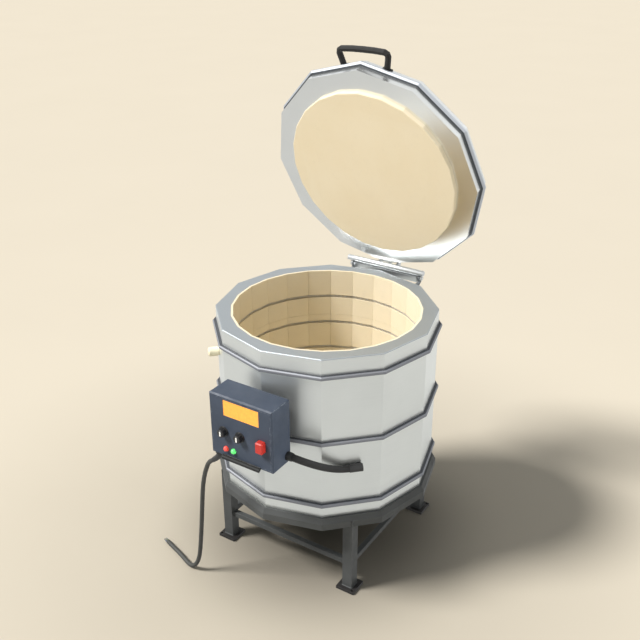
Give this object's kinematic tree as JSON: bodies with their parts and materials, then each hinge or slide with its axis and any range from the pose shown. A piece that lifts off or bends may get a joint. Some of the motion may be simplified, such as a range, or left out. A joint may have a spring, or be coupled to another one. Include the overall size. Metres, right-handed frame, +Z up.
{
  "type": "electric pottery kiln",
  "caption": "Twelve-sided top-loading electric kiln on a steel stand, with a hinged insulated lid, brick chamber, heating elements and a control box.",
  "frame": {"origin": "on the floor under the kiln's axis, the centre of the four anchor holes", "axes": "+Z up; -Y towards the control box; +Y towards the lid's hinge; +X to the right as seen from the control box"},
  "size_m": [0.7858, 0.9225, 1.6013],
  "materials": {
    "stand_paint": "satin enamel",
    "foot_paint": "matt enamel",
    "jacket_steel": "brushed",
    "band_steel": "satin",
    "fittings_steel": "satin",
    "pin_steel": "polished",
    "firebrick": "porous",
    "fibre": "felted",
    "element_alloy": "oxidised",
    "porcelain": "bisque",
    "black_fitting": "moulded",
    "conduit_skin": "smooth",
    "handle_grip": "satin enamel",
    "box_paint": "satin enamel",
    "amber_window": "gloss",
    "red_lens": "gloss",
    "green_lens": "gloss",
    "knob_black": "satin",
    "pointer_white": "matt",
    "circuit_board": "lacquered",
    "device_plastic": "moulded",
    "core_iron": "varnished",
    "terminal_plastic": "moulded",
    "cord_jacket": "matt",
    "core_sleeve": "matt"
  },
  "bodies": {
    "kiln": {"stand_ring": "stand_paint", "stand_legs": "stand_paint", "stand_crossbars": "stand_paint", "foot_plates": "foot_paint", "base_pan": "jacket_steel", "hearth_slab": "firebrick", "lower_bricks": "firebrick", "middle_bricks": "firebrick", "upper_bricks": "firebrick", "jacket": "jacket_steel", "jacket_seam": "jacket_steel", "rim_cap": "jacket_steel", "lower_band": "band_steel", "middle_band": "band_steel", "upper_band": "band_steel", "band_clamps": "fittings_steel", "element_1": "element_alloy", "element_2": "element_alloy", "element_3": "element_alloy", "element_4": "element_alloy", "terminal_block": "porcelain", "thermocouple": "porcelain", "thermocouple_head": "black_fitting", "conduit": "conduit_skin", "conduit_gland": "black_fitting", "hinge_bracket": "fittings_steel", "bracket_bolts": "fittings_steel", "hinge_pin": "pin_steel", "box_bracket": "box_paint", "box_standoffs": "fittings_steel", "box_housing": "box_paint", "front_panel": "box_paint", "display_window": "amber_window", "controller_board": "circuit_board", "relays": "device_plastic", "transformer": "core_iron", "mains_terminals": "terminal_plastic", "vent_rail": "black_fitting", "red_lamp": "red_lens", "green_lamp": "green_lens", "dial_switches": "device_plastic", "button_switch": "black_fitting", "cord_relief": "black_fitting", "power_cord": "cord_jacket", "cord_cores": "core_sleeve"},
    "lid": {"lid_pan": "jacket_steel", "lid_cover": "jacket_steel", "lid_band": "band_steel", "lid_brick": "firebrick", "lid_blanket": "fibre", "lid_handle": "handle_grip", "hinge_leaf": "fittings_steel", "leaf_bolts": "fittings_steel"},
    "left_dial": {"left_knob": "knob_black", "left_pointer": "pointer_white"},
    "right_dial": {"right_knob": "knob_black", "right_pointer": "pointer_white"},
    "button": {"power_button": "red_lens"},
    "plug": {"peephole_plug": "porcelain"}
  },
  "joints": [
    {"name": "lid_hinge", "type": "hinge", "parent": "kiln", "child": "lid", "pos_m": [0, 0.386, 0.826], "axis": [1, 0, 0], "range_deg": [-15, 71.5]},
    {"name": "left_dial_turn", "type": "hinge", "parent": "kiln", "child": "left_dial", "pos_m": [-0.062, -0.457, 0.6035], "axis": [0, 1, 0], "range_deg": [-135, 135]},
    {"name": "right_dial_turn", "type": "hinge", "parent": "kiln", "child": "right_dial", "pos_m": [-0.0035, -0.457, 0.6035], "axis": [0, 1, 0], "range_deg": [-135, 135]},
    {"name": "button_press", "type": "slide", "parent": "kiln", "child": "button", "axis": [0, 1, 0], "range_m": [0, 0.006], "stiffness_N_per_m": 500},
    {"name": "plug_pull", "type": "slide", "parent": "kiln", "child": "plug", "axis": [-0.7071, -0.7071, 0], "range_m": [0, 0.07]}
  ]
}
